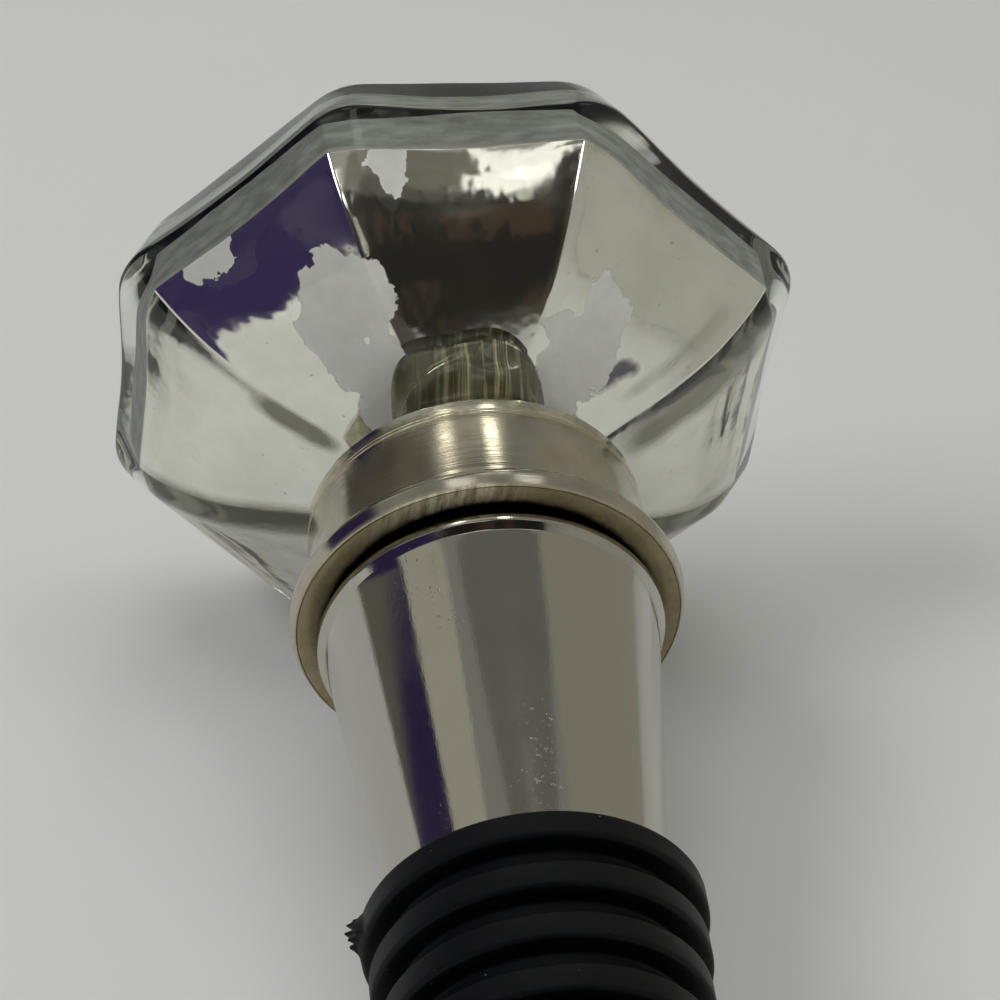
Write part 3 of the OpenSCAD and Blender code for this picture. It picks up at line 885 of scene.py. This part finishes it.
def cement_material(finish):
    """Old resin cement: dark olive brown, smooth and shiny, with fine yellow streaks down it,
    strongest near the middle across it.
    """
    made, tree = material("cement", base_color=rgba(finish.cement), roughness=0.25,
                          coat_weight=0.7, coat_roughness=0.06)
    where = own_coordinates(tree)
    lumps = noise(tree, where, 2.6 * MM, 2.0, 0.5)
    drawn = stretched(tree, where, (1.0, 0.06, 0.02))
    lines = noise(tree, drawn, 0.35 * MM, 2.0, 0.6)
    aside = math_of(tree, "ABSOLUTE", put(tree, "SeparateXYZ", {0: where}).outputs[0])
    middle = ramp(tree, aside, 1.2 * MM, 3.6 * MM, 1.0, 0.15)
    # Yellow streaks, strongest near the middle across the cement.
    yellow_streaks = times(tree, ramp(tree, lines, 0.50, 0.68), middle)
    body = blend(tree, ramp(tree, lumps, 0.3, 0.62), CEMENT_DARK, finish.cement)
    wire(tree, base_color=blend(tree, times(tree, yellow_streaks, 0.8), body, CEMENT_YELLOW_STREAKS),
         roughness=ramp(tree, lumps, 0.3, 0.7, 0.15, 0.35),
         normal=bump(tree, lines, 0.10 * MM, 0.6))
    return made


def stud_material():
    """Plain turned steel."""
    made, tree = material("stud_metal", base_color=rgba(STEEL), metallic=1.0, roughness=0.35)
    wire(tree, normal=turned(tree, own_coordinates(tree), 0.8 * MM, 0.1 * MM))
    return made


# ---------------------------------------------------------------- seal

def seal_shape(metal, seal):
    """Closed profile of the seal: the bore for the spigot, the ribs with rounded edges and the
    rounded nose. A jagged nub stands out of the first rib, where the window
    exp(-(angle aside)^4 - (distance below)^4) opens."""
    top_z = -metal.ring_drop - metal.ring_bevel - metal.taper_length
    spigot = metal.spigot_d / 2
    corners = [(0.2 * MM, top_z - metal.spigot_length, 0),
               (spigot, top_z - metal.spigot_length, 0.1 * MM), (spigot, top_z, 0.1 * MM)]
    for i in range(seal.rib_count):
        r = (seal.rib_d - i * seal.rib_step) / 2
        z = top_z - i * seal.rib_pitch
        corners += [(r, z, 0.3 * MM), (r, z - seal.rib_width, 0.3 * MM),
                    (r - seal.rib_depth, z - seal.rib_width, 0.25 * MM)]
        if i < seal.rib_count - 1:
            corners.append((r - seal.rib_depth - seal.rib_step / 2, z - seal.rib_pitch, 0.25 * MM))
    nose_r, nose_z = r - seal.rib_depth, z - seal.rib_width - seal.nose_length
    corners += [(nose_r, nose_z, 1.2 * MM), (0.2 * MM, nose_z, 0)]
    path = rounded(corners, steps=5)
    cut = int(np.argmax((path[:, 1] < top_z - 1.1 * seal.rib_pitch) & (path[:, 0] > spigot)))
    path = np.concatenate([refined(path[:cut], 0.22 * MM), refined(path[cut - 1:], 0.6 * MM)[1:]])
    rings = with_height(ring(path[:, 0]), path[:, 1])
    around = np.arctan2(rings[..., 1], rings[..., 0]) % (2 * math.pi)
    aside = (around - seal.torn_at) / math.radians(6.5)
    below = (top_z - rings[..., 2] - seal.torn_drop) / (0.95 * MM)
    window = np.exp(-(aside**4) - below**4) * (path[:, 0][:, None] > spigot + 1 * MM)
    jagged = 0.75 + 0.45 * waves(rings, 0.55 * MM, 4)
    out = np.linalg.norm(rings[..., :2], axis=-1)
    reach = np.maximum(out, (seal.rib_d / 2 - 0.5 * MM) * (window > 0.35))
    rings[..., :2] *= ((reach + seal.torn * window * jagged) / out)[..., None]
    return rings


def rubber_material(finish):
    """Black rubber: satin, with a fine moulded grain, dull patches and a few pale dust specks."""
    made, tree = material("rubber", base_color=rgba(finish.rubber), roughness=0.5,
                          specular_ior_level=0.18)
    where = own_coordinates(tree)
    grain = noise(tree, where, 0.25 * MM, 4.0, 0.6)
    dust = ramp(tree, noise(tree, where, 0.30 * MM, 1.0), 0.80, 0.83)
    patch = noise(tree, where, 5 * MM, 3.0)
    base = blend(tree, ramp(tree, patch, 0.3, 0.7), finish.rubber, RUBBER_PATCH)
    wire(tree, base_color=blend(tree, times(tree, dust, 0.5), base, DUST),
         roughness=ramp(tree, patch, 0.3, 0.7, 0.42, 0.58),
         normal=bump(tree, grain, 0.02 * MM, 0.6))
    return made


# ---------------------------------------------------------------- studio

# Shades of the room that the polished faces mirror.
WALL = (0.28, 0.28, 0.265)
DARK = (0.020, 0.018, 0.016)
WARM_DARK = (0.050, 0.036, 0.026)
PURPLE = (0.034, 0.023, 0.078)
DIM = (0.085, 0.078, 0.070)
LOW = (0.15, 0.14, 0.12)
CREAM = (0.46, 0.45, 0.39)
TAN = (0.33, 0.315, 0.265)
PALE = (0.36, 0.355, 0.325)
CEILING = (0.175, 0.175, 0.165)
NEAR_LAMP = (0.48, 0.47, 0.42)
LAMP = (5.2, 5.0, 4.2)
FRONT_LAMP = (1.15, 1.15, 1.1)

# The room in bands of elevation. Each band starts at an elevation and holds until the next, and
# lists where each shade starts round the compass: degrees, 0 behind the stopper along +Y, 90
# towards +X.
ROOM = [
    (-90, [(-180, DARK), (-149, PURPLE), (-61, LOW), (-49, DIM), (-31, WALL), (40, TAN), (80, PALE),
           (149, DARK), (170, WARM_DARK), (176, DARK)]),
    (12, [(-180, DARK), (-149, PURPLE), (-61, LOW), (-49, DIM), (-31, WALL), (40, TAN), (80, PALE),
          (149, WARM_DARK), (166, DARK)]),
    (29, [(-180, WARM_DARK), (-170, DARK), (-149, WALL), (-75, CREAM), (-57, LOW), (-36, WALL),
          (40, TAN), (80, WALL), (149, DARK), (168, WARM_DARK), (174, DARK)]),
    (48, [(-180, DARK), (-172, WALL), (-75, CREAM), (-53, LOW), (-40, NEAR_LAMP), (-30, LAMP),
          (-22, NEAR_LAMP), (20, WALL), (40, TAN), (80, WALL), (150, DARK)]),
    (53.5, [(-180, DARK), (-172, FRONT_LAMP), (-156, WALL), (-40, NEAR_LAMP), (4, LAMP),
            (14, NEAR_LAMP), (20, WALL), (40, TAN), (80, WALL), (150, LOW), (170, DIM)]),
    (60, [(-180, LOW), (-172, FRONT_LAMP), (-146, WALL), (-52, CEILING), (52, WALL), (150, LOW)]),
    (66, [(-180, LOW), (-163, FRONT_LAMP), (-146, WALL), (-130, FRONT_LAMP), (-85, WALL),
          (-52, CEILING), (52, WALL), (85, FRONT_LAMP), (122, WALL), (150, LOW)]),
    (79, [(-180, WALL), (-60, FRONT_LAMP), (60, WALL)]),
    (86, [(-180, WALL)]),
]


def studio_world():
    """A world of soft shades: every band of elevation is a ramp round the compass, with 2
    degrees from one shade to the next, and blends into the band above over 2 degrees."""
    world = bpy.data.worlds.new("studio")
    world.use_nodes = True
    bpy.context.scene.world = world
    tree = world.node_tree
    ray = put(tree, "SeparateXYZ", {0: put(tree, "TexCoord").outputs["Generated"]}).outputs
    azimuth = math_of(tree, "ARCTAN2", ray[0], ray[1])
    share = put(tree, "Math", {0: azimuth, 1: 0.5 / math.pi, 2: 0.5},
                operation="MULTIPLY_ADD").outputs[0]
    elevation = math_of(tree, "ARCSINE", ray[2])
    soft = 1.0
    colour = WALL
    for start, shades in ROOM:
        compass = put(tree, "ValToRGB", {0: share})
        stops = compass.color_ramp.elements
        stops.remove(stops[1])
        stops[0].position, stops[0].color = 0.0, rgba(shades[0][1])
        for (_, before), (turn, after) in zip(shades, shades[1:]):
            stops.new((turn + 180 - soft) / 360).color = rgba(before)
            stops.new((turn + 180 + soft) / 360).color = rgba(after)
        above = ramp(tree, elevation, math.radians(start - soft), math.radians(start + soft))
        colour = blend(tree, above, colour, compass.outputs[0])
    tree.links.new(colour, tree.nodes["Background"].inputs["Color"])
    return world


def floor_material(studio):
    """Plain pale table with the faintest mottle."""
    made, tree = material("table", base_color=rgba(studio.floor), roughness=0.6)
    where = put(tree, "TexCoord").outputs["Object"]
    mottle = noise(tree, where, 40 * MM, 3.0)
    light = tuple(min(c * 1.03, 1.0) for c in studio.floor)
    wire(tree, base_color=blend(tree, mottle, tuple(studio.floor), light))
    return made


# ---------------------------------------------------------------- operators

class STOPPER_OT_glass_knob(Operator):
    """Build the faceted glass knob with its hollow"""
    bl_idname = "stopper.glass_knob"
    bl_label = "Glass Knob"

    def execute(self, context):
        scene = context.scene
        knob = shell("knob_glass", glass_shape(scene.knob_sizes, scene.metal_sizes))
        knob.data.materials.append(glass_material(scene.finishes))
        ride(knob)
        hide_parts("glass_knob")
        return {"FINISHED"}


class STOPPER_OT_silvering(Operator):
    """Build the mirror coating inside the knob"""
    bl_idname = "stopper.silvering"
    bl_label = "Silvering"

    def execute(self, context):
        scene = context.scene
        rings = coat_shape(scene.knob_sizes, scene.metal_sizes)
        coat = shell("knob_silvering", rings)
        points = np.concatenate([rings.reshape(-1, 3), rings[[0, -1]].mean(axis=1)])
        widest = np.linalg.norm(rings[..., :2], axis=-1).argmax(axis=0)
        past_edge = (points[:, 2] - rings[widest, 0, 2].max()) / (0.1 * MM)
        crown = past_edge > 0
        store(coat, "bare", spots(points, BARE) + FAR_MM * crown)
        # Painted shade beside the collar, as distance from its spots.
        store(coat, "gap_shade", spots(points, GAP_SHADE_SPOTS) + FAR_MM * crown)
        store(coat, "dull", beside_ridges(points, BANDS) * ~crown)
        store(coat, "side", np.clip(past_edge, 0, 1))
        coat.data.materials.append(silver_material(scene.finishes))
        ride(coat)
        return {"FINISHED"}


class STOPPER_OT_collar(Operator):
    """Build the flared collar and finish the cement in it"""
    bl_idname = "stopper.collar"
    bl_label = "Collar"

    def execute(self, context):
        scene = context.scene
        collar = shell("spun_collar", collar_shape(scene.knob_sizes, scene.metal_sizes), loop=True)
        collar.data.materials.append(nickel_material(scene.finishes))
        ride(collar)
        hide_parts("collar")
        cement = cement_material(scene.finishes)
        finish_node("bedding_cement", cement)
        squeezed = shell("squeezed_cement", squeezed_shape(scene.knob_sizes, scene.metal_sizes),
                         loop=True)
        squeezed.data.materials.append(cement)
        ride(squeezed)
        return {"FINISHED"}


class STOPPER_OT_plug(Operator):
    """Build the polished plug and finish the stud in it"""
    bl_idname = "stopper.plug"
    bl_label = "Plug"

    def execute(self, context):
        scene = context.scene
        plug = shell("turned_plug", plug_shape(scene.metal_sizes))
        plug.data.materials.append(chrome_material(scene.finishes))
        ride(plug)
        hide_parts("plug_taper")
        finish_node("threaded_stud", stud_material())
        return {"FINISHED"}


class STOPPER_OT_seal(Operator):
    """Build the ribbed rubber seal"""
    bl_idname = "stopper.seal"
    bl_label = "Rubber Seal"

    def execute(self, context):
        scene = context.scene
        sleeve = shell("ribbed_sleeve", seal_shape(scene.metal_sizes, scene.seal_sizes))
        sleeve.data.materials.append(rubber_material(scene.finishes))
        ride(sleeve)
        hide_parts("rubber_seal")
        return {"FINISHED"}


class STOPPER_OT_studio(Operator):
    """Lay the pale table and set up the soft light and the camera"""
    bl_idname = "stopper.studio"
    bl_label = "Studio"

    def execute(self, context):
        scene = context.scene
        studio = scene.studio_settings
        studio_world()
        half = 1.5
        mesh = bpy.data.meshes.new("table")
        mesh.from_pydata([(-half, -half, 0), (half, -half, 0), (half, half, 0), (-half, half, 0)],
                         [], [(0, 1, 2, 3)])
        table = bpy.data.objects.new("table", mesh)
        scene.collection.objects.link(table)
        mesh.materials.append(floor_material(studio))
        # The key and the ceiling light the table and the pieces; the other two are there only
        # for the bare patches and the coating's back, which stand behind the glass.
        key = add_light("key", (-0.75, -0.3, 0.75), 0.45, studio.key_power)
        ceiling = add_light("ceiling", (0.0, 0.1, 1.2), 1.0, studio.ceiling_power)
        key.visible_transmission = ceiling.visible_transmission = False
        for name, side in (("left", -0.52), ("right", 0.52)):
            inside = add_light("glass_" + name, (side, -0.55, 0.8), 0.42, studio.glass_power)
            inside.visible_diffuse = False
        add_camera(scene, studio)
        scene.view_settings.view_transform = "Standard"
        return {"FINISHED"}


def finish_node(node, finish):
    """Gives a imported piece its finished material."""
    slots = frame["nodes"][node].data.materials
    slots.clear()
    slots.append(finish)


def add_light(name, place_m, size, power):
    """Soft round light aimed at the stopper, which the polished faces don't mirror."""
    data = bpy.data.lights.new(name, "AREA")
    data.shape, data.size, data.energy = "DISK", size, power
    lamp = bpy.data.objects.new(name, data)
    bpy.context.scene.collection.objects.link(lamp)
    lamp.location = place_m
    lamp.rotation_euler = (-lamp.location).to_track_quat("-Z", "Y").to_euler()
    lamp.visible_glossy = False
    return lamp


def add_camera(scene, studio):
    """Camera that aims at a point near the stopper's middle from its heading, pitch and
    distance, turned round its own view by the roll."""
    level = math.cos(studio.pitch)
    view = Vector((math.sin(studio.heading) * level, math.cos(studio.heading) * level,
                   -math.sin(studio.pitch)))
    data = bpy.data.cameras.new("camera")
    data.lens, data.sensor_width = studio.lens, 36.0
    data.clip_start, data.clip_end = 0.005, 20.0
    camera = bpy.data.objects.new("camera", data)
    scene.collection.objects.link(camera)
    aim = Vector((studio.aim_x, studio.aim_y, studio.aim_z))
    camera.location = aim - view * studio.distance
    camera.rotation_mode = "QUATERNION"
    upright = view.to_track_quat("-Z", "Y")
    camera.rotation_quaternion = Quaternion(view, -studio.roll) @ upright
    scene.camera = camera


class STOPPER_PT_looks(Panel):
    """Sizes, finishes and build steps of the stopper"""
    bl_idname = "STOPPER_PT_looks"
    bl_label = "Bottle Stopper"
    bl_space_type = "VIEW_3D"
    bl_region_type = "UI"
    bl_category = "Stopper"

    def draw(self, context):
        for step in STEPS:
            self.layout.operator(step.bl_idname)
        for group in GROUPS:
            box = self.layout.box()
            settings = getattr(context.scene, group)
            box.label(text=group.replace("_", " ").title())
            for name in settings.__annotations__:
                box.prop(settings, name)


GROUPS = {
    "knob_sizes": KnobSizes,
    "metal_sizes": MetalSizes,
    "seal_sizes": SealSizes,
    "finishes": Finishes,
    "studio_settings": StudioSettings,
}
STEPS = [STOPPER_OT_glass_knob, STOPPER_OT_silvering, STOPPER_OT_collar, STOPPER_OT_plug,
         STOPPER_OT_seal, STOPPER_OT_studio]


def register():
    """Registers the settings, the operators and the panel."""
    for name, group in GROUPS.items():
        bpy.utils.register_class(group)
        setattr(bpy.types.Scene, name, PointerProperty(type=group))
    for step in (*STEPS, STOPPER_PT_looks):
        bpy.utils.register_class(step)


def unregister():
    """Takes the panel, the operators and the settings away again."""
    for step in (STOPPER_PT_looks, *reversed(STEPS)):
        bpy.utils.unregister_class(step)
    for name, group in GROUPS.items():
        delattr(bpy.types.Scene, name)
        bpy.utils.unregister_class(group)


def main():
    """Builds every piece around the frame."""
    register()
    bpy.ops.stopper.glass_knob()
    bpy.ops.stopper.silvering()
    bpy.ops.stopper.collar()
    bpy.ops.stopper.plug()
    bpy.ops.stopper.seal()
    bpy.ops.stopper.studio()


if __name__ == "__main__":
    main()
